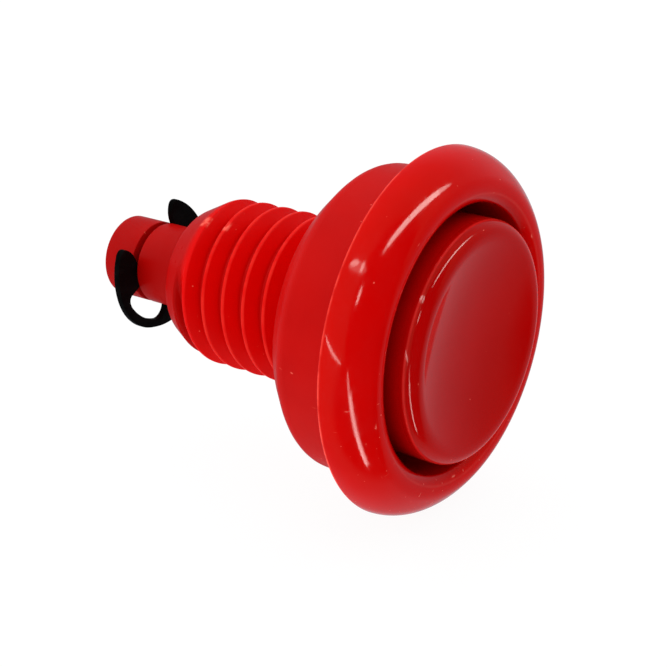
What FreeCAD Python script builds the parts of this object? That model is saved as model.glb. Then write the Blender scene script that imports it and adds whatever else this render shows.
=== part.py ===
import FreeCAD, Part
import math
import os
from FreeCAD import Vector

os.makedirs("parts", exist_ok=True)

# Panel push button: a bead-flanged threaded housing, a dished button on a long
# stem that slides through it, a return spring under the button and an E-ring
# that keeps the stem in.  Millimetres.  The axis is Y, the button's face looks
# along -Y, the stem leaves along +Y, and Y = 0 is the back of the flange, the
# plane that seats on a panel.

# ---- housing: flange bead
FLANGE_R = 16.57            # outer radius, at the seat plane
BEAD_A = 7.394              # outer quarter ellipse of the bead, radial semi-axis
BEAD_B = 5.163              # the same, axial semi-axis
BEAD_TURN = 45.0            # ellipse parameter where the crest arc takes over, deg
CREST_R = 1.73              # radius of the arc over the bead's crest
MOUTH_FILLET = 0.35         # rounding between crest arc and recess wall
# ---- housing: recess for the button
RECESS_R = 12.10
RECESS_FLOOR = 6.40         # Y of the floor
RECESS_CORNER = 1.20        # fillet between wall and floor
BOSS_R = 5.60               # spring locating boss round the bore
BOSS_H = 1.00
# ---- housing: collar that fills the panel hole
COLLAR_R = 14.03
COLLAR_END = 8.22           # Y of the collar's rear face
COLLAR_CHAMFER = 2.27       # 45 degree chamfer legs at the rear edge
COLLAR_EDGE_R = 1.60        # rounding of both chamfer edges
# ---- housing: threaded barrel, 5/8-11
THREAD_R = 7.9375
THREAD_PITCH = 25.4 / 11.0
THREAD_ROOT_R = 6.55
ROOT_FLAT = 0.40
FLANK = 30.0                # flank angle from the radial plane, deg
CREST_Y = 21.434            # Y of a crest at the -X side
THREAD_STOP = 160.0         # angle from +X towards +Z where the last groove ends, deg
CONE_START = 22.02          # lead-in cone of the barrel's tail
BARREL_END = 25.03
CONE_END_R = 6.37
CONE_EDGE_R = 1.00          # rounding where the cone starts
TAIL_EDGE_R = 0.50          # rounding at the end face
BORE_R = 4.03
BORE_CHAMFER = 0.30

# ---- plunger: button head
HEAD_R = 10.86
RIM_Y = -5.42               # foremost point of the rim
RIM_TUBE = 1.20             # rounding of the rim
RIM_INNER = 2.27            # the same on the dish's side of the rim's crest
DISH_SLOPE = 15.6           # slope of the dished face where it leaves the rim, deg
SKIRT_Y = 2.00              # Y of the skirt's lower edge
SKIRT_CHAMFER = 0.60
SKIRT_IN_R = 9.06
CEILING_Y = -2.70           # underside of the face
CEILING_FILLET = 0.80
HUB_R = 5.20                # root of the stem under the head
HUB_Y = -0.50
# ---- plunger: stem
STEM_R = 3.95
STEM_END = 35.00
STEM_CHAMFER = 0.20
GROOVE_Y = 31.10            # middle of the E-ring groove
GROOVE_W = 0.72
GROOVE_R = 3.05

# ---- return spring
WIRE_R = 0.35
SPRING_R = 6.60             # mean coil radius
SPRING_TURNS = 5.0

# ---- E-ring
CLIP_T = 0.635
CLIP_TOOTH_R = 3.20
CLIP_BAND_R = 5.68          # inner radius of the thin band
CLIP_SHIFT = 0.08           # it sits off the axis by this much
CLIP_SHIFT_DIR = 204.0      # towards this angle from +X towards +Z, deg
CLIP_OPEN_DIR = 112.0       # middle of the mouth, from +X towards +Z, deg


def at(r, y):
    return Vector(r, y, 0.0)


def seg(a, b):
    return Part.LineSegment(a, b).toShape()


def arc(a, m, b):
    return Part.Arc(a, m, b).toShape()


def round_arc(c, r, a0, a1):
    """Arc about c from angle a0 to a1, degrees, in the profile plane."""
    p = [at(c[0] + r * math.cos(math.radians(t)), c[1] + r * math.sin(math.radians(t)))
         for t in (a0, (a0 + a1) / 2.0, a1)]
    return arc(*p), p[0], p[2]


def turned(edges):
    """Solid of revolution about Y of a closed profile of (radius, Y)."""
    face = Part.Face(Part.Wire(Part.__sortEdges__(edges)))
    solid = face.revolve(Vector(0, 0, 0), Vector(0, 1, 0), 360.0)
    return Part.Solid(solid.Shells[0]) if solid.ShapeType != "Solid" else solid


def corner(p, a, b, r):
    """Rounding of radius r at corner p between the directions of a and b."""
    u = (a - p).normalize()
    v = (b - p).normalize()
    half = math.acos(max(-1.0, min(1.0, u.dot(v)))) / 2.0
    t = r / math.tan(half)
    s, e = p + u * t, p + v * t
    c = p + (u + v).normalize() * (r / math.sin(half))
    m = c + (p - c).normalize() * r
    return s, m, e


# ---------------------------------------------------------------- housing
cx = FLANGE_R - BEAD_A
turn = math.radians(BEAD_TURN)
bead_end = at(cx + BEAD_A * math.cos(turn), -BEAD_B * math.sin(turn))
nx, ny = BEAD_B * math.cos(turn), -BEAD_A * math.sin(turn)
nl = math.hypot(nx, ny)
nx, ny = nx / nl, ny / nl
crest_c = (bead_end.x - CREST_R * nx, bead_end.y - CREST_R * ny)
ellipse = Part.Ellipse(at(cx, 0.0), BEAD_A, BEAD_B)
bead = Part.ArcOfEllipse(ellipse, -turn, 0.0).toShape()
mouth_y = crest_c[1] - math.sqrt((CREST_R - MOUTH_FILLET) ** 2
                                 - (RECESS_R + MOUTH_FILLET - crest_c[0]) ** 2)
mouth_c = (RECESS_R + MOUTH_FILLET, mouth_y)
a_start = math.degrees(math.atan2(bead_end.y - crest_c[1], bead_end.x - crest_c[0]))
a_mouth = math.degrees(math.atan2(mouth_c[1] - crest_c[1], mouth_c[0] - crest_c[0]))
crest, crest_a, crest_b = round_arc(crest_c, CREST_R, a_start, a_mouth)
lip, lip_a, lip_b = round_arc(mouth_c, MOUTH_FILLET, a_mouth, -180.0)

floor_c = (RECESS_R - RECESS_CORNER, RECESS_FLOOR - RECESS_CORNER)
floor_arc, fl_a, fl_b = round_arc(floor_c, RECESS_CORNER, 0.0, 90.0)

c1 = at(COLLAR_R, COLLAR_END - COLLAR_CHAMFER)
c2 = at(COLLAR_R - COLLAR_CHAMFER, COLLAR_END)
c1s, c1m, c1e = corner(c1, at(COLLAR_R, 0), c2, COLLAR_EDGE_R)
c2s, c2m, c2e = corner(c2, c1, at(0, COLLAR_END), COLLAR_EDGE_R)

head_profile = [
    seg(at(COLLAR_R, 0.0), at(FLANGE_R, 0.0)),
    bead,
    crest,
    lip,
    seg(lip_b, fl_a),
    floor_arc,
    seg(fl_b, at(BOSS_R, RECESS_FLOOR)),
    seg(at(BOSS_R, RECESS_FLOOR), at(BOSS_R, RECESS_FLOOR - BOSS_H)),
    seg(at(BOSS_R, RECESS_FLOOR - BOSS_H), at(0.0, RECESS_FLOOR - BOSS_H)),
    seg(at(0.0, RECESS_FLOOR - BOSS_H), at(0.0, COLLAR_END)),
    seg(at(0.0, COLLAR_END), c2e),
    arc(c2s, c2m, c2e),
    seg(c1e, c2s),
    arc(c1s, c1m, c1e),
    seg(at(COLLAR_R, 0.0), c1s),
]
flange_and_collar = turned(head_profile)

# barrel with its lead-in cone, before the thread is cut
rod_start = RECESS_FLOOR + 0.5
k1 = at(THREAD_R, CONE_START)
k2 = at(CONE_END_R, BARREL_END)
k1s, k1m, k1e = corner(k1, at(THREAD_R, rod_start), k2, CONE_EDGE_R)
k2s, k2m, k2e = corner(k2, k1, at(0, BARREL_END), TAIL_EDGE_R)
rod = turned([
    seg(at(0.0, rod_start), at(THREAD_R, rod_start)),
    seg(at(THREAD_R, rod_start), k1s),
    arc(k1s, k1m, k1e),
    seg(k1e, k2s),
    arc(k2s, k2m, k2e),
    seg(k2e, at(0.0, BARREL_END)),
    seg(at(0.0, BARREL_END), at(0.0, rod_start)),
])

# right-hand thread: one V groove wound round the barrel.  It is made about Z
# and then laid along Y; an angle a from +X towards +Z is -a about that Z.
groove_y = CREST_Y + THREAD_PITCH / 2.0
start_y = rod_start - 1.2
stop = -THREAD_STOP % 360.0
stop_y = groove_y + THREAD_PITCH * (stop - 180.0) / 360.0
start = 180.0 + (start_y - groove_y) / THREAD_PITCH * 360.0
out_r = THREAD_R + 0.16
tan_f = math.tan(math.radians(FLANK))
w0 = ROOT_FLAT / 2.0
w1 = w0 + (out_r - THREAD_ROOT_R) * tan_f
path = Part.makeHelix(THREAD_PITCH, stop_y - start_y, THREAD_R)
vee = Part.makePolygon([Vector(THREAD_ROOT_R, 0, -w0), Vector(out_r, 0, -w1),
                        Vector(out_r, 0, w1), Vector(THREAD_ROOT_R, 0, w0),
                        Vector(THREAD_ROOT_R, 0, -w0)])
groove = Part.Wire(path.Edges).makePipeShell([vee], True, True)
groove.translate(Vector(0, 0, start_y))
groove.rotate(Vector(0, 0, 0), Vector(0, 0, 1), start)
groove.rotate(Vector(0, 0, 0), Vector(1, 0, 0), -90.0)
barrel = rod.cut(groove)

bore = turned([
    seg(at(0.0, 0.0), at(BORE_R, 0.0)),
    seg(at(BORE_R, 0.0), at(BORE_R, BARREL_END - BORE_CHAMFER)),
    seg(at(BORE_R, BARREL_END - BORE_CHAMFER), at(BORE_R + BORE_CHAMFER + 0.3, BARREL_END + 0.3)),
    seg(at(BORE_R + BORE_CHAMFER + 0.3, BARREL_END + 0.3), at(0.0, BARREL_END + 0.3)),
    seg(at(0.0, BARREL_END + 0.3), at(0.0, 0.0)),
])
housing = flange_and_collar.fuse(barrel).cut(bore)
if housing.ShapeType != "Solid":
    housing = housing.Solids[0]

# ---------------------------------------------------------------- plunger
rim_c = (HEAD_R - RIM_TUBE, RIM_Y + RIM_TUBE)
rim, rim_a, rim_top = round_arc(rim_c, RIM_TUBE, 0.0, -90.0)
inner_c = (rim_c[0], RIM_Y + RIM_INNER)
rim_in, _, rim_b = round_arc(inner_c, RIM_INNER, -90.0, -90.0 - DISH_SLOPE)
dish_r = rim_b.x / math.sin(math.radians(DISH_SLOPE))
dish_mid = rim_b.y + dish_r * (1.0 - math.cos(math.radians(DISH_SLOPE)))
half = math.radians(DISH_SLOPE / 2.0)
dish_m = at(dish_r * math.sin(half), dish_mid - dish_r * (1.0 - math.cos(half)))
ceil_c = (SKIRT_IN_R - CEILING_FILLET, CEILING_Y + CEILING_FILLET)
ceil_arc, ce_a, ce_b = round_arc(ceil_c, CEILING_FILLET, 0.0, -90.0)
g0, g1 = GROOVE_Y - GROOVE_W / 2.0, GROOVE_Y + GROOVE_W / 2.0
plunger = turned([
    arc(at(0.0, dish_mid), dish_m, rim_b),
    rim_in,
    rim,
    seg(rim_a, at(HEAD_R, SKIRT_Y - SKIRT_CHAMFER)),
    seg(at(HEAD_R, SKIRT_Y - SKIRT_CHAMFER), at(HEAD_R - SKIRT_CHAMFER, SKIRT_Y)),
    seg(at(HEAD_R - SKIRT_CHAMFER, SKIRT_Y), at(SKIRT_IN_R, SKIRT_Y)),
    seg(at(SKIRT_IN_R, SKIRT_Y), ce_a),
    ceil_arc,
    seg(ce_b, at(HUB_R, CEILING_Y)),
    seg(at(HUB_R, CEILING_Y), at(HUB_R, HUB_Y)),
    seg(at(HUB_R, HUB_Y), at(STEM_R, HUB_Y + 0.8)),
    seg(at(STEM_R, HUB_Y + 0.8), at(STEM_R, g0)),
    seg(at(STEM_R, g0), at(GROOVE_R, g0)),
    seg(at(GROOVE_R, g0), at(GROOVE_R, g1)),
    seg(at(GROOVE_R, g1), at(STEM_R, g1)),
    seg(at(STEM_R, g1), at(STEM_R, STEM_END - STEM_CHAMFER)),
    seg(at(STEM_R, STEM_END - STEM_CHAMFER), at(STEM_R - STEM_CHAMFER, STEM_END)),
    seg(at(STEM_R - STEM_CHAMFER, STEM_END), at(0.0, STEM_END)),
    seg(at(0.0, STEM_END), at(0.0, dish_mid)),
])

# ---------------------------------------------------------------- spring
coil_h = (RECESS_FLOOR - WIRE_R) - (CEILING_Y + WIRE_R) - 0.10
coil = Part.makeHelix(coil_h / SPRING_TURNS, coil_h, SPRING_R)
wire = Part.Wire(Part.makeCircle(WIRE_R, Vector(SPRING_R, 0, 0), Vector(0, 1, 0)))
spring = Part.Wire(coil.Edges).makePipeShell([wire], True, True)
spring.translate(Vector(0, 0, CEILING_Y + WIRE_R + 0.05))
spring.rotate(Vector(0, 0, 0), Vector(1, 0, 0), -90.0)
if spring.ShapeType != "Solid":
    spring = Part.Solid(spring.Shells[0])

# ---------------------------------------------------------------- E-ring
def polar(r, deg):
    return Vector(r * math.cos(math.radians(deg)), r * math.sin(math.radians(deg)), 0.0)


def ring_arc(r, a0, a1):
    return arc(polar(r, a0), polar(r, (a0 + a1) / 2.0), polar(r, a1))


# one half of the outline, from the mouth round to the middle tooth; the other
# half is its mirror image.  Angles are from the middle of the mouth.
half_outline = [
    arc(polar(6.36, 180.0), polar(6.38, 164.0), polar(6.45, 145.0)),
    arc(polar(6.45, 145.0), polar(6.58, 133.0), polar(6.63, 122.0)),
    arc(polar(6.63, 122.0), polar(6.57, 104.0), polar(6.45, 86.0)),
    arc(polar(6.45, 86.0), polar(6.39, 67.0), polar(6.41, 46.0)),
    arc(polar(6.41, 46.0), polar(6.00, 39.7), polar(5.30, 39.7)),
    arc(polar(5.30, 39.7), polar(4.80, 41.2), polar(4.35, 44.5)),
    seg(polar(4.35, 44.5), polar(CLIP_TOOTH_R, 60.0)),
    ring_arc(CLIP_TOOTH_R, 60.0, 80.0),
    arc(polar(CLIP_TOOTH_R, 80.0), polar(3.55, 87.6), polar(4.10, 91.0)),
    seg(polar(4.10, 91.0), polar(5.10, 91.8)),
    arc(polar(5.10, 91.8), polar(5.47, 94.6), polar(CLIP_BAND_R, 102.0)),
    ring_arc(CLIP_BAND_R, 102.0, 146.0),
    arc(polar(CLIP_BAND_R, 146.0), polar(5.32, 153.4), polar(4.66, 158.5)),
    seg(polar(4.66, 158.5), polar(CLIP_TOOTH_R, 166.0)),
    ring_arc(CLIP_TOOTH_R, 166.0, 180.0),
]
mirrored = [e.mirror(Vector(0, 0, 0), Vector(0, 1, 0)) for e in half_outline]
clip_face = Part.Face(Part.Wire(Part.__sortEdges__(half_outline + mirrored)))
clip = clip_face.extrude(Vector(0, 0, CLIP_T))
clip.rotate(Vector(0, 0, 0), Vector(0, 0, 1), -CLIP_OPEN_DIR)
off = polar(CLIP_SHIFT, -CLIP_SHIFT_DIR)
clip.translate(Vector(off.x, off.y, GROOVE_Y - CLIP_T / 2.0))
clip.rotate(Vector(0, 0, 0), Vector(1, 0, 0), -90.0)

for name, shape in (("housing", housing), ("plunger", plunger),
                    ("return_spring", spring), ("retaining_clip", clip)):
    box = shape.BoundBox
    print("%-15s %-7s valid %s solids %d faces %3d  vol %.1f mm3  x %.2f..%.2f  y %.2f..%.2f  z %.2f..%.2f" % (
        name, shape.ShapeType, shape.isValid(), len(shape.Solids), len(shape.Faces), shape.Volume,
        box.XMin, box.XMax, box.YMin, box.YMax, box.ZMin, box.ZMax))
    shape.exportStep("parts/%s.step" % name)
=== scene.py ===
"""Looks of the panel push button: housing, button with stem, spring and E-ring, built as fine smooth meshes in the part's frame.

Lengths below are in millimetres in the part's frame (axis along Y, face towards -Y) and become metres in put().
Angles round the axis go from +X towards +Z.
"""
import math

import bmesh
import bpy
import numpy as np
from mathutils import Matrix, Vector
from mathutils.geometry import tessellate_polygon


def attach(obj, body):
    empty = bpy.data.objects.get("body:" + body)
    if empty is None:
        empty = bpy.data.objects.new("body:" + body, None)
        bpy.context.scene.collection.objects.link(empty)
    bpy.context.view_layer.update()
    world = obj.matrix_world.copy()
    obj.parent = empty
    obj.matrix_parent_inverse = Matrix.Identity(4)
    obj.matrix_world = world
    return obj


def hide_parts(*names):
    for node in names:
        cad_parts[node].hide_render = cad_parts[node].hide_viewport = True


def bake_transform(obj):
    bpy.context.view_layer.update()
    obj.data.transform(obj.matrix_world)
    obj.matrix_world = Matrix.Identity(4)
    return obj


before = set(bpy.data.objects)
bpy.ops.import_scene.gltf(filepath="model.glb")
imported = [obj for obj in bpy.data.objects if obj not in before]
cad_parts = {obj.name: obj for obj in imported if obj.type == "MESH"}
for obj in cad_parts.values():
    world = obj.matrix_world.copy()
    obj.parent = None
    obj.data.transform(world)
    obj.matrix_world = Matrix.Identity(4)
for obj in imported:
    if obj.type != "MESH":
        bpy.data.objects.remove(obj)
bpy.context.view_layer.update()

COLS = 224                      # columns round the axis
ANG = np.arange(COLS) * 2 * math.pi / COLS
DEG = np.degrees(ANG)


# ---------------------------------------------------------------- profile tools
def arc(cx, cy, rad, a0, a1, n):
    """n + 1 points on a circle in the (r, Y) plane, degrees from a0 to a1."""
    t = np.radians(np.linspace(a0, a1, n + 1))
    return [(cx + rad * math.cos(x), cy + rad * math.sin(x)) for x in t]


def rounded(corners):
    """A line through (r, Y, radius) corners with each corner rounded."""
    out = []
    for i, (r, y, rad) in enumerate(corners):
        if rad <= 0 or i in (0, len(corners) - 1):
            out.append((r, y))
            continue
        p = np.array((r, y))
        u = np.array(corners[i - 1][:2]) - p
        v = np.array(corners[i + 1][:2]) - p
        u, v = u / np.linalg.norm(u), v / np.linalg.norm(v)
        half = math.acos(max(-1.0, min(1.0, float(u @ v)))) / 2
        d = rad / math.tan(half)
        b = (u + v) / np.linalg.norm(u + v)
        c = p + b * rad / math.sin(half)
        a, e = p + u * d - c, p + v * d - c
        turn = math.pi - 2 * half
        steps = max(4, int(math.degrees(turn) / 9))
        side = 1 if a[0] * e[1] - a[1] * e[0] > 0 else -1
        for k in range(steps + 1):
            t = side * turn * k / steps
            out.append((c[0] + a[0] * math.cos(t) - a[1] * math.sin(t), c[1] + a[0] * math.sin(t) + a[1] * math.cos(t)))
    return out


def split_long(points, longest):
    """Adds points so that no step of the line is longer than that."""
    out = [points[0]]
    for p, q in zip(points, points[1:]):
        n = max(1, math.ceil(math.hypot(q[0] - p[0], q[1] - p[1]) / longest))
        out += [(p[0] + (q[0] - p[0]) * k / n, p[1] + (q[1] - p[1]) * k / n) for k in range(1, n + 1)]
    return out


def spin(points):
    """Rows of vertices round the axis for (r, Y) points; r may be one number or one per column."""
    rows = []
    for r, y in points:
        r = np.full(COLS, r, float)
        rows.append(np.stack([r * np.cos(ANG), np.full(COLS, y, float), r * np.sin(ANG)], 1))
    return rows


def skin(rows):
    """Quads between neighbouring rows, as corner lists."""
    faces = []
    for a, b in zip(rows, rows[1:]):
        for i in range(COLS):
            k = (i + 1) % COLS
            faces.append((a[i], a[k], b[k], b[i]))
    return faces


def put(name, faces, body, node, materials, pick=None):
    """One watertight mesh object from corner lists in millimetres, riding on a body in place of a CAD node."""
    index, verts, polys = {}, [], []
    for f in faces:
        ids = []
        for p in f:
            key = (round(float(p[0]), 5), round(float(p[1]), 5), round(float(p[2]), 5))
            if key not in index:
                index[key] = len(verts)
                verts.append((p[0] * 1e-3, p[1] * 1e-3, p[2] * 1e-3))
            if index[key] not in ids:
                ids.append(index[key])
        if len(ids) > 2:
            polys.append(ids)
    mesh = bpy.data.meshes.new(name)
    mesh.from_pydata(verts, [], polys)
    bm = bmesh.new()
    bm.from_mesh(mesh)
    bmesh.ops.recalc_face_normals(bm, faces=bm.faces)
    open_edges = sum(1 for e in bm.edges if len(e.link_faces) != 2)
    bm.to_mesh(mesh)
    bm.free()
    mesh.polygons.foreach_set("use_smooth", [True] * len(mesh.polygons))
    obj = bpy.data.objects.new(name, mesh)
    bpy.context.scene.collection.objects.link(obj)
    for m in materials:
        obj.data.materials.append(m)
    if pick:
        mesh.polygons.foreach_set("material_index", [pick(p.center * 1e3) for p in mesh.polygons])
    soften = obj.modifiers.new("even_normals", "WEIGHTED_NORMAL")
    soften.mode = "FACE_AREA"
    soften.weight = 60
    soften.keep_sharp = True
    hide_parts(node)
    if body:
        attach(obj, body)
    print("piece", name, "faces", len(mesh.polygons), "open edges", open_edges)
    return obj


# ---------------------------------------------------------------- materials
def tree(name):
    m = bpy.data.materials.new(name)
    m.use_nodes = True
    nt = m.node_tree
    return m, nt, nt.nodes["Principled BSDF"]


def add(nt, kind, **values):
    n = nt.nodes.new(kind)
    for k, v in values.items():
        if k.startswith("in_"):
            n.inputs[k[3:].replace("_", " ")].default_value = v
        else:
            setattr(n, k, v)
    return n


def span(nt, source, a, b, c, d, smooth=True):
    """Maps source from a..b to c..d."""
    n = add(nt, "ShaderNodeMapRange")
    n.interpolation_type = "SMOOTHSTEP" if smooth else "LINEAR"
    for name, v in (("From Min", a), ("From Max", b), ("To Min", c), ("To Max", d)):
        n.inputs[name].default_value = v
    nt.links.new(source, n.inputs["Value"])
    return n.outputs["Result"]


def calc(nt, op, a, b=None, clamp=False):
    n = add(nt, "ShaderNodeMath", operation=op)
    n.use_clamp = clamp
    for i, v in enumerate((a, b)):
        if v is None:
            continue
        if isinstance(v, (int, float)):
            n.inputs[i].default_value = v
        else:
            nt.links.new(v, n.inputs[i])
    return n.outputs[0]


def blend_colour(nt, fac, a, b):
    n = add(nt, "ShaderNodeMix", data_type="RGBA")
    nt.links.new(fac, n.inputs["Factor"])
    for sock, v in ((n.inputs[6], a), (n.inputs[7], b)):
        if isinstance(v, tuple):
            sock.default_value = v
        else:
            nt.links.new(v, sock)
    return n.outputs[2]


def noise(nt, where, scale, detail=2.0, rough=0.5):
    n = add(nt, "ShaderNodeTexNoise")
    n.inputs["Scale"].default_value = scale
    n.inputs["Detail"].default_value = detail
    n.inputs["Roughness"].default_value = rough
    nt.links.new(where, n.inputs["Vector"])
    return n.outputs["Fac"]


def red_plastic(name, deep, light, rough, rough_vary, specular, grain, around, dust_low, dust_high, painted_edge_highlight=None, painted_root_shade=None, painted_shade_tail=None, painted_highlight_lines=(), bloom=None):
    """Moulded red plastic of one finish, with dust flecks that gather towards the underside, painted highlights along
    some edges and painted shade in some grooves and towards one end.

    around: radius in metres that the flecks are laid out on.
    rubbed: (what, from, to, share, colour) of an edge band painted paler as a highlight, by height along the axis or by
    radius.
    grime: (radius from, radius to) of a groove whose root is painted a little darker, as painted shade.
    lines: (what, middle, half width, least radius, share, colour) of pale lines painted along edges as highlights.
    tail: (height from, height to) over which the colour is painted a little darker as shade and the painted edge
    highlight ends.
    bloom: (weight, roughness, tint) of the lighter film that handled plastic shows at a low angle.
    """
    m, nt, bsdf = tree(name)
    bsdf.inputs["IOR"].default_value = 1.5
    bsdf.inputs["Specular IOR Level"].default_value = specular
    if bloom:
        bsdf.inputs["Sheen Weight"].default_value, bsdf.inputs["Sheen Roughness"].default_value, bsdf.inputs["Sheen Tint"].default_value = bloom
    where = add(nt, "ShaderNodeTexCoord").outputs["Object"]
    xyz = add(nt, "ShaderNodeSeparateXYZ")
    nt.links.new(where, xyz.inputs[0])
    x, y, z = (xyz.outputs[k] for k in "XYZ")
    radius = calc(nt, "SQRT", calc(nt, "ADD", calc(nt, "MULTIPLY", x, x), calc(nt, "MULTIPLY", z, z)))
    # colour: slow clouds in the pigment
    cloud = noise(nt, where, 160.0, 3.0)
    base = blend_colour(nt, span(nt, cloud, 0.35, 0.65, 0.0, 1.0), deep, light)
    # painted shade: the groove's root is painted darker
    if painted_root_shade:
        base = blend_colour(nt, span(nt, radius, painted_root_shade[0], painted_root_shade[1], 0.7, 0.0), base, tuple(0.72 * v for v in deep[:3]) + (1.0,))
    # painted shade: the colour turns darker towards one end
    if painted_shade_tail:
        base = blend_colour(nt, span(nt, y, painted_shade_tail[0], painted_shade_tail[1], 0.0, 1.0), base, tuple(0.64 * v for v in deep[:3]) + (1.0,))
    # flecks: laid out round the axis, small cells picked by chance, more of them low down
    turn = calc(nt, "ARCTAN2", calc(nt, "MULTIPLY", z, -1.0), calc(nt, "MULTIPLY", x, -1.0))
    ragged = calc(nt, "MULTIPLY", calc(nt, "SUBTRACT", noise(nt, where, 3400.0, 2.0), 0.5), 0.00022)
    sheet = add(nt, "ShaderNodeCombineXYZ")
    nt.links.new(calc(nt, "ADD", calc(nt, "MULTIPLY", turn, around), ragged), sheet.inputs[0])
    nt.links.new(calc(nt, "SUBTRACT", calc(nt, "ADD", calc(nt, "MULTIPLY", y, 0.6), radius), ragged), sheet.inputs[1])
    under = span(nt, z, 0.005, -0.010, dust_low, dust_high)

    def flecks(scale, small, large, stretch, lean, share):
        put_at = sheet.outputs[0]
        if stretch:
            tilt = add(nt, "ShaderNodeMapping")
            tilt.inputs["Rotation"].default_value = (0.0, 0.0, lean)
            tilt.inputs["Scale"].default_value = stretch
            nt.links.new(put_at, tilt.inputs["Vector"])
            put_at = tilt.outputs["Vector"]
        cell = add(nt, "ShaderNodeTexVoronoi", feature="F1", voronoi_dimensions="2D")
        cell.inputs["Scale"].default_value = scale
        nt.links.new(put_at, cell.inputs["Vector"])
        chance = add(nt, "ShaderNodeSeparateColor")
        nt.links.new(cell.outputs["Color"], chance.inputs[0])
        size = span(nt, chance.outputs[1], 0.0, 1.0, small, large, False)
        spot = calc(nt, "SUBTRACT", 1.0, calc(nt, "DIVIDE", cell.outputs["Distance"], size), clamp=True)
        picked = calc(nt, "LESS_THAN", chance.outputs[0], calc(nt, "MULTIPLY", under, share))
        return calc(nt, "MULTIPLY", calc(nt, "MULTIPLY", spot, picked), span(nt, chance.outputs[2], 0.0, 1.0, 0.15, 1.15, False))

    dust = flecks(1000.0, 0.05, 0.11, None, 0.0, 1.0)
    dust = calc(nt, "MAXIMUM", dust, flecks(520.0, 0.09, 0.17, (0.7, 3.4, 1.0), 0.5, 0.16))
    dust = calc(nt, "MAXIMUM", dust, flecks(560.0, 0.08, 0.15, (3.4, 0.8, 1.0), 0.3, 0.12), clamp=True)
    base = blend_colour(nt, dust, base, (0.88, 0.140, 0.095, 1.0))
    # painted highlight: a band along an edge is painted paler
    if painted_edge_highlight:
        what, low, high, share, colour = painted_edge_highlight
        edge = span(nt, y if what == "height" else radius, low, high, 0.0, share)
        edge = calc(nt, "MULTIPLY", edge, span(nt, noise(nt, where, 700.0, 3.0), 0.36, 0.62, 0.25, 1.0))
        if painted_shade_tail:
            edge = calc(nt, "MULTIPLY", edge, span(nt, y, painted_shade_tail[0] - 0.0016, painted_shade_tail[1] - 0.0016, 1.0, 0.0))
            # painted glint: the two mould flats near the top of the first crests are painted paler
            painted_glint = span(nt, calc(nt, "ABSOLUTE", calc(nt, "ADD", turn, 1.08)), 0.045, 0.095, 1.0, 0.0)
            painted_glint = calc(nt, "MULTIPLY", painted_glint, span(nt, y, 0.0186, 0.0190, 0.0, 1.0))
            painted_glint = calc(nt, "MULTIPLY", painted_glint, span(nt, radius, 0.00765, 0.00782, 0.0, 0.62))
            base = blend_colour(nt, calc(nt, "MULTIPLY", painted_glint, span(nt, noise(nt, where, 1900.0, 2.0), 0.35, 0.6, 0.2, 1.0)), base, (0.92, 0.16, 0.11, 1.0))
        else:
            edge = calc(nt, "MULTIPLY", edge, span(nt, z, 0.006, -0.007, 0.45, 1.0))
        base = blend_colour(nt, edge, base, colour)
    # painted highlights: pale lines along edges
    for what, middle, half, least, share, colour in painted_highlight_lines:
        band = span(nt, calc(nt, "ABSOLUTE", calc(nt, "SUBTRACT", y if what == "height" else radius, middle)), 0.0, half, share, 0.0)
        band = calc(nt, "MULTIPLY", band, span(nt, radius, least, least + 0.0002, 0.0, 1.0))
        band = calc(nt, "MULTIPLY", band, span(nt, noise(nt, where, 520.0, 2.0), 0.3, 0.6, 0.6, 1.0))
        base = blend_colour(nt, band, base, colour)
    nt.links.new(base, bsdf.inputs["Base Color"])
    # roughness: fine grain of the mould and wiped patches
    fine = noise(nt, where, 2600.0, 3.0)
    wipe = noise(nt, where, 420.0, 2.0)
    both = calc(nt, "ADD", calc(nt, "MULTIPLY", fine, 0.5), calc(nt, "MULTIPLY", wipe, 0.5))
    rough_out = span(nt, both, 0.3, 0.7, rough - rough_vary, rough + rough_vary)
    nt.links.new(calc(nt, "MAXIMUM", rough_out, calc(nt, "MULTIPLY", dust, 0.6)), bsdf.inputs["Roughness"])
    # relief: grain, slight sink waviness, dust stands a little proud
    wave = noise(nt, where, 90.0, 1.0)
    height = calc(nt, "ADD", calc(nt, "MULTIPLY", fine, grain), calc(nt, "MULTIPLY", wave, 0.004))
    height = calc(nt, "ADD", height, calc(nt, "MULTIPLY", dust, 0.006))
    bump = add(nt, "ShaderNodeBump")
    bump.inputs["Strength"].default_value = 1.0
    bump.inputs["Distance"].default_value = 0.001
    nt.links.new(height, bump.inputs["Height"])
    nt.links.new(bump.outputs["Normal"], bsdf.inputs["Normal"])
    return m


def black_steel(name):
    """Black phosphated spring steel with a little bare wear."""
    m, nt, bsdf = tree(name)
    bsdf.inputs["IOR"].default_value = 1.5
    bsdf.inputs["Specular IOR Level"].default_value = 0.06
    where = add(nt, "ShaderNodeTexCoord").outputs["Object"]
    coarse = noise(nt, where, 700.0, 4.0)
    fine = noise(nt, where, 5200.0, 3.0)
    nt.links.new(blend_colour(nt, span(nt, coarse, 0.4, 0.75, 0.0, 1.0), (0.0008, 0.0008, 0.0010, 1.0), (0.0028, 0.0028, 0.0032, 1.0)), bsdf.inputs["Base Color"])
    nt.links.new(span(nt, fine, 0.3, 0.7, 0.42, 0.62), bsdf.inputs["Roughness"])
    bump = add(nt, "ShaderNodeBump")
    bump.inputs["Strength"].default_value = 0.6
    bump.inputs["Distance"].default_value = 0.00002
    nt.links.new(fine, bump.inputs["Height"])
    nt.links.new(bump.outputs["Normal"], bsdf.inputs["Normal"])
    return m


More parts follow.
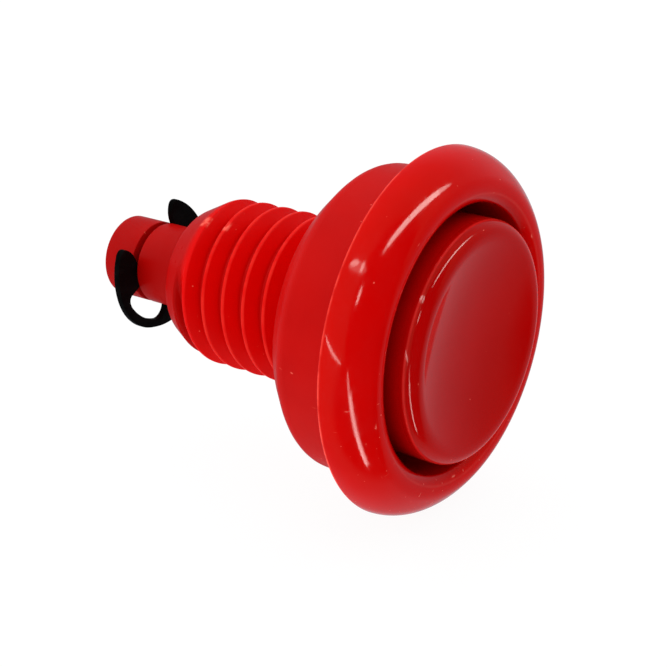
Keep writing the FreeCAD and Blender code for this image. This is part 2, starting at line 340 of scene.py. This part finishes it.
def bright_wire(name):
    """Drawn spring wire."""
    m, nt, bsdf = tree(name)
    bsdf.inputs["Metallic"].default_value = 1.0
    where = add(nt, "ShaderNodeTexCoord").outputs["Object"]
    grain = noise(nt, where, 1800.0, 3.0)
    nt.links.new(blend_colour(nt, span(nt, grain, 0.3, 0.7, 0.0, 1.0), (0.46, 0.46, 0.48, 1.0), (0.62, 0.62, 0.64, 1.0)), bsdf.inputs["Base Color"])
    nt.links.new(span(nt, grain, 0.3, 0.7, 0.22, 0.38), bsdf.inputs["Roughness"])
    return m


# Each part's red is set to a different lightness per finish, lighter on the thread and darker on the collar and stem
# than on the gloss faces: painted light and shade.
HOUSING_GLOSS = red_plastic(
    # painted highlights: the flange's paler back edge and the pale line on the bead near the mouth
    "housing_red_gloss", (0.548, 0.0003, 0.0002, 1.0), (0.575, 0.0005, 0.0003, 1.0), 0.085, 0.03, 0.5, 0.0, 0.0145, 0.06, 0.34,
    ("height", -0.00030, -0.00012, 0.95, (1.0, 0.085, 0.060, 1.0)), painted_highlight_lines=(("radius", 0.01296, 0.00020, 0.0120, 0.35, (0.64, 0.040, 0.034, 1.0)),))
HOUSING_SATIN = red_plastic("housing_red_satin", (0.440, 0.0006, 0.0002, 1.0), (0.470, 0.0010, 0.0004, 1.0), 0.36, 0.05, 0.05, 0.0025, 0.0140, 0.07, 0.18)
RECESS_SATIN = red_plastic("housing_red_recess", (0.540, 0.0006, 0.0002, 1.0), (0.575, 0.0010, 0.0004, 1.0), 0.30, 0.04, 0.10, 0.0, 0.0121, 0.0, 0.0)
# The thread's paler crests are painted highlights; its darker root and its darkening towards the nose are painted
# shade.
THREAD_SATIN = red_plastic("housing_red_thread", (0.610, 0.0004, 0.0002, 1.0), (0.645, 0.0006, 0.0003, 1.0), 0.32, 0.05, 0.04, 0.0020, 0.0079, 0.03, 0.06, ("radius", 0.00785, 0.00793, 0.5, (0.70, 0.022, 0.013, 1.0)), (0.00655, 0.00690), (0.0216, 0.0228))
PLUNGER_GLOSS = red_plastic(
    # painted highlight: the pale line round the rim's outer shoulder
    "plunger_red_gloss", (0.398, 0.0004, 0.0004, 1.0), (0.422, 0.0006, 0.0006, 1.0), 0.080, 0.025, 0.5, 0.0, 0.0070, 0.010, 0.030,
    painted_highlight_lines=(("height", -0.00450, 0.00018, 0.0104, 0.85, (0.70, 0.018, 0.016, 1.0)),), bloom=(0.88, 0.26, (1.0, 0.03, 0.02, 1.0)))
# painted shade: the side is painted darker towards the bottom of the recess
PLUNGER_SIDE = red_plastic("plunger_red_side", (0.402, 0.0004, 0.0004, 1.0), (0.428, 0.0006, 0.0006, 1.0), 0.32, 0.04, 0.06, 0.0, 0.0108, 0.0, 0.0, painted_shade_tail=(-0.0039, -0.0010))
PLUNGER_SATIN = red_plastic("plunger_red_satin", (0.350, 0.0006, 0.0004, 1.0), (0.375, 0.0010, 0.0006, 1.0), 0.34, 0.05, 0.05, 0.0020, 0.0040, 0.04, 0.06)
CLIP_BLACK = black_steel("clip_black")
SPRING_STEEL = bright_wire("spring_steel")


# ---------------------------------------------------------------- housing
MAJOR, ROOT, PITCH = 7.9375, 6.55, 25.4 / 11
CREST_Y = 21.434                # crest of the first turn at 180 degrees
NOSE = rounded([(MAJOR, 8.0, 0), (MAJOR, 22.02, 1.0), (6.37, 25.03, 0.5), (4.33, 25.03, 0)])
NOSE_Y = np.array([p[1] for p in NOSE[:-1]])
NOSE_R = np.array([p[0] for p in NOSE[:-1]])
TOP_Y, FOOT_Y = 24.4, 8.34      # the turns' grid lies between these


def envelope(y):
    return np.interp(y, NOSE_Y, NOSE_R)


half_form = rounded([(MAJOR, 0.0, 0), (MAJOR, 0.1535, 0.17), (ROOT, 0.9545, 0.22), (ROOT, PITCH / 2, 0)])
half_form = split_long(half_form, 0.33)
FORM_W = np.array([p[1] for p in half_form])
FORM_R = np.array([p[0] for p in half_form])
OFFSETS = list(FORM_W) + [PITCH - w for w in FORM_W[-2:0:-1]]
PER_TURN = len(OFFSETS)
TURNS = range(-7, 3)


def thread_radius(deg, turn, w, y):
    """Radius at a point of the turns' grid: crest, flanks and root, with the last groove fading out on the nose."""
    dist = np.minimum(w, PITCH - w)
    form = np.interp(dist, FORM_W, FORM_R)
    along = deg - 360.0 * turn
    fade = np.clip((along - 138.0) / 48.0, 0, 1)
    fade = fade * fade * (3 - 2 * fade)
    form = MAJOR - fade * (MAJOR - form)
    env = envelope(y)
    k = 0.20 * np.clip((y - 20.9) / 1.0, 0, 1) + 1e-6
    h = np.maximum(k - np.abs(form - env), 0) / k
    r = np.minimum(form, env) - h * h * k / 4
    # two short flats on the first crests where the mould halves meet
    off = np.radians(deg - 117.5)
    near = (np.abs(off) < 0.5) & (y > 18.6)
    flat = (MAJOR - 0.075) / np.cos(np.where(near, off, 0))
    return np.where(near, np.minimum(r, flat), r)


grid = np.zeros((COLS, PER_TURN * len(TURNS), 3))
for ti, turn in enumerate(TURNS):
    for k, w in enumerate(OFFSETS):
        y = CREST_Y - PITCH * (DEG - 180) / 360 + turn * PITCH + w
        y = np.clip(y, FOOT_Y, TOP_Y)
        true_w = y - (CREST_Y - PITCH * (DEG - 180) / 360)
        in_turn = np.floor(true_w / PITCH + 1e-9)
        r = thread_radius(DEG, in_turn, np.clip(true_w - in_turn * PITCH, 0, PITCH), y)
        grid[:, ti * PER_TURN + k] = np.stack([r * np.cos(ANG), y, r * np.sin(ANG)], 1)

faces = []
last = grid.shape[1] - 1
for i in range(COLS):
    wrap = i == COLS - 1
    for j in range(last):
        a, b = grid[i, j], grid[i, j + 1]
        if wrap:
            c, d = grid[0, max(j + 1 - PER_TURN, 0)], grid[0, max(j - PER_TURN, 0)]
        else:
            c, d = grid[i + 1, j + 1], grid[i + 1, j]
        faces.append((a, b, c, d))
# the rows above the last turn at the seam
for j in range(last - PER_TURN, last):
    faces.append((grid[COLS - 1, last], grid[0, j + 1], grid[0, j]))

foot = grid[:, 0].copy()
foot_r = np.hypot(foot[:, 0], foot[:, 2])
foot_rows = [(foot_r, FOOT_Y), (foot_r + 0.004, 8.30), (foot_r + 0.025, 8.255), (foot_r + 0.07, 8.228), (foot_r + 0.14, 8.22)]

shell = [(8.6, 8.22)] + rounded([
    (9.4, 8.22, 0), (11.76, 8.22, 1.6), (14.03, 5.95, 1.6), (14.03, 0.0, 0.16), (16.564, 0.0, 0.14), (16.564, -0.5, 0),
])[1:-1]
t0 = math.degrees(math.asin(0.20 / 5.163))
shell += [(9.176 + (7.394 - 0.006 * math.cos(math.radians(2 * t))) * math.cos(math.radians(t)), -5.163 * math.sin(math.radians(t))) for t in np.linspace(t0, 45, 26)]
a0 = math.degrees(math.atan2(-3.651 + 2.232, 14.404 - 13.414))
a1 = math.degrees(math.atan2(-3.470 + 2.232, 12.2055 - 13.414))
shell += arc(13.414, -2.232, 1.73, a0, a1, 22)[1:]
b0 = math.degrees(math.atan2(-3.470 + 3.2196, 12.2055 - 12.45))
shell += arc(12.45, -3.2196, 0.35, b0, -180, 6)[1:]
shell += split_long(rounded([
    (12.10, -3.2196, 0), (12.10, 6.40, 1.2), (5.60, 6.40, 0.15), (5.60, 5.40, 0.15), (4.03, 5.40, 0.10), (4.03, 24.73, 0.05),
    (4.33, 25.03, 0.05), (6.37, 25.03, 0.5), (7.9375, 22.02, 0),
]), 2.2)[1:]
cut = max(i for i, p in enumerate(shell) if p[1] > TOP_Y and i > len(shell) - 40)
shell = shell[:cut + 1]
rows = spin(foot_rows) + spin(shell)
rows.append(grid[:, last])
faces += skin(rows)


def housing_finish(c):
    """Gloss on the flange's bead, satin on the barrel, in the recess and on the rest."""
    r = math.hypot(c.x, c.z)
    if -3.21 < c.y < 6.6 and r < 12.12:
        return 3
    if c.y < -0.02 and r > 12.05:
        return 0
    return 2 if c.y > 8.3 and r > 5.0 else 1


housing = put("housing_shell", faces, "housing", "housing", [HOUSING_GLOSS, HOUSING_SATIN, THREAD_SATIN, RECESS_SATIN], housing_finish)

# ---------------------------------------------------------------- button and stem
CREST_R, CREST_Y0 = 9.66, -5.418
SLOPE_AT = np.array([0.0, 8.30, 8.60, 8.85, 9.10])
SLOPE_DEG = np.array([0.0, 15.35, 15.90, 15.80, 14.30])
dish_r = np.concatenate([np.linspace(0.25, 8.30, 22), np.linspace(8.38, 9.10, 10), CREST_R - 2.27 * np.sin(np.radians(np.linspace(14.3, 0, 8)))[1:]])
fine_r = np.linspace(0, CREST_R, 4000)
inner = np.interp(fine_r, SLOPE_AT, SLOPE_DEG)
outer = np.degrees(np.arcsin(np.clip((CREST_R - fine_r) / 2.27, 0, 1)))
slope = np.tan(np.radians(np.where(fine_r < 9.10, inner, outer)))
fall = np.concatenate([[0], np.cumsum((slope[1:] + slope[:-1]) / 2 * np.diff(fine_r))])
dish_y = CREST_Y0 + (fall[-1] - np.interp(dish_r, fine_r, fall))
DISH_MID = CREST_Y0 + fall[-1]
prof = [(r, y) for r, y in zip(dish_r, dish_y)]
prof += arc(CREST_R, -4.218, 1.2, -90.0, 0, 26)[1:]
prof += rounded([
    (10.86, -4.0, 0), (10.86, 1.4, 0.2), (10.26, 2.00, 0.1), (9.06, 2.00, 0.15), (9.06, -2.70, 0.8), (5.20, -2.70, 0.5), (5.20, -0.50, 0.2),
    (3.95, 0.30, 0.2), (3.95, 30.74, 0.07), (3.05, 30.74, 0.06), (3.05, 31.46, 0.06), (3.95, 31.46, 0.07), (3.95, 35.0, 0.18), (0.6, 35.0, 0),
])
prof = split_long(prof, 2.2)
rows = spin(prof)
faces = skin(rows)
tip_a, tip_b = (0.0, DISH_MID, 0.0), (0.0, 35.0, 0.0)
for i in range(COLS):
    k = (i + 1) % COLS
    faces.append((tip_a, rows[0][k], rows[0][i]))
    faces.append((tip_b, rows[-1][i], rows[-1][k]))


def plunger_finish(c):
    """Gloss on the button's face and rim, a duller side painted darker towards the bottom of the recess as shade, satin
    on the rest.
    """
    if -4.0 < c.y < 2.05 and math.hypot(c.x, c.z) > 9.0:
        return 2
    return 0 if c.y < -3.5 else 1


plunger = put("button_and_stem", faces, "plunger", "plunger", [PLUNGER_GLOSS, PLUNGER_SATIN, PLUNGER_SIDE], plunger_finish)


# ---------------------------------------------------------------- return spring, closed at both ends
def coil_line():
    """Points of the wire's centre line: a closed turn at each end and open turns between them."""
    low, high, wire = -2.65, 6.35, 0.35
    closed, free = 1.0, 2.2
    y0, y1 = low + wire, high - wire
    step = 2 * wire + 0.03
    out = []
    total = 2 * closed + free
    for s in np.linspace(0, total, 420):
        if s <= closed:
            y = y0 + step * s
        elif s >= total - closed:
            y = y1 - step * (total - s)
        else:
            f = (s - closed) / free
            y = y0 + step * closed + (y1 - y0 - 2 * step * closed) * (f * 0.86 + 0.14 * f * f * (3 - 2 * f))
        a = 2 * math.pi * s
        out.append((6.60 * math.cos(a), y, 6.60 * math.sin(a)))
    return np.array(out)


line = coil_line()
tangent = np.gradient(line, axis=0)
tangent /= np.linalg.norm(tangent, axis=1)[:, None]
radial = np.stack([line[:, 0], np.zeros(len(line)), line[:, 2]], 1)
radial /= np.linalg.norm(radial, axis=1)[:, None]
radial -= (radial * tangent).sum(1)[:, None] * tangent
radial /= np.linalg.norm(radial, axis=1)[:, None]
third = np.cross(tangent, radial)
SIDES = 16
rings = []
for p, u, v in zip(line, radial, third):
    rings.append([p + 0.35 * (u * math.cos(2 * math.pi * k / SIDES) + v * math.sin(2 * math.pi * k / SIDES)) for k in range(SIDES)])
faces = []
for a, b in zip(rings, rings[1:]):
    for k in range(SIDES):
        faces.append((a[k], a[(k + 1) % SIDES], b[(k + 1) % SIDES], b[k]))
for k in range(SIDES):
    faces.append((line[0], rings[0][(k + 1) % SIDES], rings[0][k]))
    faces.append((line[-1], rings[-1][k], rings[-1][(k + 1) % SIDES]))
spring = put("return_coil", faces, None, "return_spring", [SPRING_STEEL])
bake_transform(spring)


# ---------------------------------------------------------------- E-ring
SHIFT = (0.08 * math.cos(math.radians(204.0)), 0.08 * math.sin(math.radians(204.0)))    # it sits a little off the axis


def clip_outline():
    """Half of the E-ring's outline as (radius, degrees from the mouth), then its mirror image."""
    def run(r, a, b, n):
        return [(r, t) for t in np.linspace(a, b, n)]

    rim_t = [180, 172, 164, 155, 145, 139, 133, 127.5, 122, 113, 104, 95, 86, 76.5, 67, 57, 46]
    rim_r = [6.36, 6.362, 6.38, 6.41, 6.45, 6.515, 6.58, 6.618, 6.63, 6.614, 6.57, 6.515, 6.45, 6.405, 6.39, 6.395, 6.41]
    around = np.linspace(180, 46, 56)
    radius = np.interp(-around, -np.array(rim_t), rim_r)
    half = list(zip(radius, around)) + [(6.37, 44.0), (6.28, 42.0), (6.12, 40.5), (5.88, 39.6), (5.60, 39.4), (5.30, 39.7), (5.02, 40.4), (4.80, 41.2), (4.56, 42.8), (4.35, 44.5)]
    half += [(3.97, 49.4), (3.58, 54.6), (3.20, 60.0)] + run(3.20, 62, 80, 8) + [(3.25, 83.0), (3.37, 85.6), (3.55, 87.6), (3.80, 89.6), (4.10, 91.0), (4.60, 91.4), (5.10, 91.8), (5.31, 92.9), (5.47, 94.6), (5.60, 97.6), (5.68, 102.0)]
    half += run(5.68, 105, 146, 14) + [(5.58, 149.4), (5.42, 152.2), (5.20, 154.8), (4.94, 157.0), (4.66, 158.5), (4.20, 160.4), (3.70, 163.0), (3.20, 166.0)] + run(3.20, 168, 180, 6)
    pts = []
    for r, t in half:
        a = math.radians(112.0 + t)
        pts.append((r * math.cos(a) + SHIFT[0], r * math.sin(a) + SHIFT[1]))
    for r, t in reversed(half[1:-1]):
        a = math.radians(112.0 - t)
        pts.append((r * math.cos(a) + SHIFT[0], r * math.sin(a) + SHIFT[1]))
    return np.array(pts)


flat_line = clip_outline()
area = 0.5 * np.sum(flat_line[:, 0] * np.roll(flat_line[:, 1], -1) - np.roll(flat_line[:, 0], -1) * flat_line[:, 1])
if area < 0:
    flat_line = flat_line[::-1]
ahead = np.roll(flat_line, -1, 0) - np.roll(flat_line, 1, 0)
inward = np.stack([-ahead[:, 1], ahead[:, 0]], 1)
inward /= np.linalg.norm(inward, axis=1)[:, None]
Y_LOW, Y_HIGH, EDGE = 30.7825, 31.4175, 0.09
levels = [(EDGE, Y_LOW), (EDGE * 0.45, Y_LOW + EDGE * 0.12), (EDGE * 0.12, Y_LOW + EDGE * 0.45), (0.0, Y_LOW + EDGE), (0.0, Y_HIGH - EDGE), (EDGE * 0.12, Y_HIGH - EDGE * 0.45), (EDGE * 0.45, Y_HIGH - EDGE * 0.12), (EDGE, Y_HIGH)]
rows = []
for off, y in levels:
    p = flat_line + inward * off
    rows.append(np.stack([p[:, 0], np.full(len(p), y), p[:, 1]], 1))
faces = []
n = len(flat_line)
for a, b in zip(rows, rows[1:]):
    for i in range(n):
        k = (i + 1) % n
        faces.append((a[i], a[k], b[k], b[i]))
for row in (rows[0], rows[-1]):
    for tri in tessellate_polygon([[Vector((p[0], p[2], 0)) for p in row]]):
        faces.append(tuple(row[i] for i in tri))
clip = put("retaining_ring", faces, "plunger", "retaining_clip", [CLIP_BLACK])


# ---------------------------------------------------------------- floor and surround
def plain(name, emission, albedo):
    m = bpy.data.materials.new(name)
    m.use_nodes = True
    b = m.node_tree.nodes["Principled BSDF"]
    b.inputs["Base Color"].default_value = (albedo, albedo, albedo, 1)
    b.inputs["Roughness"].default_value = 0.9
    b.inputs["Specular IOR Level"].default_value = 0.0
    b.inputs["Emission Color"].default_value = (1, 1, 1, 1)
    b.inputs["Emission Strength"].default_value = emission
    return m


def stage_mesh(name, verts, polys, material):
    mesh = bpy.data.meshes.new(name)
    mesh.from_pydata(verts, [], polys)
    o = bpy.data.objects.new(name, mesh)
    bpy.context.scene.collection.objects.link(o)
    o.data.materials.append(material)
    o.visible_glossy = False
    o.visible_diffuse = False
    o.visible_transmission = False
    o.visible_shadow = False
    return o


S, Z = 3.0, -0.01657
floor = stage_mesh("floor", [(-S, -S, Z), (S, -S, Z), (S, S, Z), (-S, S, Z)], [(0, 1, 2, 3)], plain("pale_floor", 0.94, 0.06))


def dome(name, radius, material, camera, diffuse):
    bm = bmesh.new()
    bmesh.ops.create_icosphere(bm, subdivisions=4, radius=radius)
    mesh = bpy.data.meshes.new(name)
    bm.to_mesh(mesh)
    bm.free()
    mesh.polygons.foreach_set("use_smooth", [True] * len(mesh.polygons))
    o = bpy.data.objects.new(name, mesh)
    bpy.context.scene.collection.objects.link(o)
    o.data.materials.append(material)
    o.visible_camera, o.visible_diffuse = camera, diffuse
    o.visible_glossy = o.visible_transmission = o.visible_shadow = False
    return o


dome("backdrop", 2.9, plain("pale_backdrop", 1.0, 0.0), True, False)

# ---------------------------------------------------------------- light
EYE = Vector((-106.22321187, -66.1038526, 51.0760413)) * 1e-3
FORWARD = Vector((0.75125912, 0.53978884, -0.37978645))
RIGHT = Vector((0.58350871, -0.81210688, 0.0))
UP = Vector((0.30842719, 0.2216087, 0.92507419))


def toward(x, y):
    """Unit direction that lies x degrees right and y degrees above the photograph's line of sight, seen from the object."""
    t = math.radians(math.hypot(x, y))
    c, s = (x / math.hypot(x, y), y / math.hypot(x, y)) if t else (0, 0)
    return (-FORWARD * math.cos(t) + (RIGHT * c + UP * s) * math.sin(t)).normalized()


def bar(name, a, b, wide, radiance, shape="ELLIPSE", far=1.5):
    """A strip light between two directions, wide degrees across, facing the object."""
    p, q = toward(*a) * far, toward(*b) * far
    mid, along = (p + q) / 2, (q - p)
    data = bpy.data.lights.new(name, "AREA")
    data.shape = shape
    data.size = along.length
    data.size_y = 2 * mid.length * math.tan(math.radians(wide / 2))
    data.energy = radiance * math.pi * data.size * data.size_y * (math.pi / 4 if shape == "ELLIPSE" else 1.0)
    data.color = (1.0, 0.93, 0.87)
    o = bpy.data.objects.new(name, data)
    z = mid.normalized()
    x = (along - z * along.dot(z)).normalized()
    y = z.cross(x)
    o.matrix_world = Matrix((x, y, z)).transposed().to_4x4()
    o.location = mid
    o.visible_diffuse = False
    bpy.context.scene.collection.objects.link(o)
    return o


bar("strip_upper_right", (22.5, 26), (74, 55), 6.8, 4.8)
bar("strip_upper_right_core", (26.5, 29.5), (66, 50.5), 5.4, 3.8, "RECTANGLE")
bar("strip_low", (1.0, -31.5), (27.5, -85), 4.6, 4.2)
bar("strip_low_core", (8.0, -44), (28, -83.5), 5.0, 4.2, "RECTANGLE")
bar("strip_left", (-57, -4.5), (-13, -27), 2.3, 6.5)
bar("lamp_upper_left", (-33, 36.5), (-15, 31), 4.2, 4.6)
bar("lamp_upper_left_end", (-8.5, 28.5), (-3, 23.5), 6.0, 5.2)
bar("lamp_upper_left_glow", (-36, 36), (4, 21), 6.5, 1.6)
bar("small_lamp", (0.4, 3.2), (3.4, 12.6), 4.2, 8.0)


def surround(nt, direction, near, far, hole):
    """Brightness of the studio's surround by direction: even and pale, paler behind the object, darker round the camera's opening."""
    def along(v):
        n = add(nt, "ShaderNodeVectorMath", operation="DOT_PRODUCT")
        nt.links.new(direction, n.inputs[0])
        n.inputs[1].default_value = tuple(v)
        return n.outputs["Value"]

    def patch(centre, wide, tall, lean, edge):
        side = (RIGHT - centre * RIGHT.dot(centre)).normalized()
        rise = centre.cross(side)
        if rise.dot(UP) < 0:
            rise = -rise
        c, s = math.cos(math.radians(lean)), math.sin(math.radians(lean))
        u = calc(nt, "DIVIDE", along(side * c + rise * s), math.sin(math.radians(wide)))
        v = calc(nt, "DIVIDE", along(rise * c - side * s), math.sin(math.radians(tall)))
        ring = calc(nt, "ADD", calc(nt, "MULTIPLY", u, u), calc(nt, "MULTIPLY", v, v))
        return calc(nt, "MULTIPLY", span(nt, ring, 1 - edge, 1 + edge, 1.0, 0.0), span(nt, along(centre), 0.0, 0.2, 0.0, 1.0))

    level = span(nt, along(FORWARD), 0.1, 0.75, near, far)
    level = calc(nt, "ADD", level, span(nt, along(FORWARD), 0.80, 0.96, 0.0, 0.18))
    opening = calc(nt, "MAXIMUM", patch(toward(32, -8), 40, 51, 0, 0.18), patch(toward(34, -49), 53, 41, 0, 0.18))
    level = calc(nt, "MULTIPLY", level, span(nt, opening, 0.0, 1.0, 1.0, hole, False))
    return level, patch, along


world = bpy.data.worlds.new("surround")
bpy.context.scene.world = world
world.use_nodes = True
wt = world.node_tree
level, patch, along = surround(wt, add(wt, "ShaderNodeTexCoord").outputs["Generated"], 0.135, 0.27, 0.0)
level = calc(wt, "MULTIPLY", level, span(wt, patch(toward(98, -25), 34, 40, 0, 0.6), 0.0, 1.0, 1.0, 0.66, False))
wt.links.new(level, wt.nodes["Background"].inputs["Strength"])
# warm in front of the object, cool behind it
wt.links.new(blend_colour(wt, span(wt, along(FORWARD), -0.4, 0.6, 0.0, 1.0), (1.0, 0.97, 0.62, 1.0), (0.97, 0.97, 1.06, 1.0)), wt.nodes["Background"].inputs["Color"])

# soft light all round for the matt part of the surfaces, strongest from above, from the left and from below
tent = bpy.data.materials.new("light_tent")
tent.use_nodes = True
tt = tent.node_tree
tt.nodes.remove(tt.nodes["Principled BSDF"])
glow = add(tt, "ShaderNodeEmission")
tt.links.new(glow.outputs[0], tt.nodes["Material Output"].inputs["Surface"])
place = add(tt, "ShaderNodeVectorMath", operation="NORMALIZE")
tt.links.new(add(tt, "ShaderNodeTexCoord").outputs["Object"], place.inputs[0])
total = 0.54
for axis, share in ((FORWARD, 0.64), (-RIGHT, 0.80), (UP, 1.10), (-UP, 0.74)):
    n = add(tt, "ShaderNodeVectorMath", operation="DOT_PRODUCT")
    n.inputs[1].default_value = tuple(axis)
    tt.links.new(place.outputs[0], n.inputs[0])
    total = calc(tt, "ADD", calc(tt, "MULTIPLY", calc(tt, "MAXIMUM", n.outputs["Value"], 0.0), share), total)
tt.links.new(total, glow.inputs["Strength"])
dome("light_tent", 2.7, tent, False, True)

# ---------------------------------------------------------------- camera
cam_data = bpy.data.cameras.new("camera")
cam = bpy.data.objects.new("camera", cam_data)
cam_data.sensor_width = 36.0
cam_data.sensor_fit = "HORIZONTAL"
cam_data.lens = 1537.4 / 667 * 36.0
cam_data.clip_start, cam_data.clip_end = 0.005, 50.0
m = Matrix((RIGHT, UP, -FORWARD)).transposed().to_4x4()
m.translation = EYE
cam.matrix_world = m
bpy.context.scene.collection.objects.link(cam)
bpy.context.scene.camera = cam
bpy.context.scene.view_settings.view_transform = "Standard"
bpy.context.scene.view_settings.look = "None"
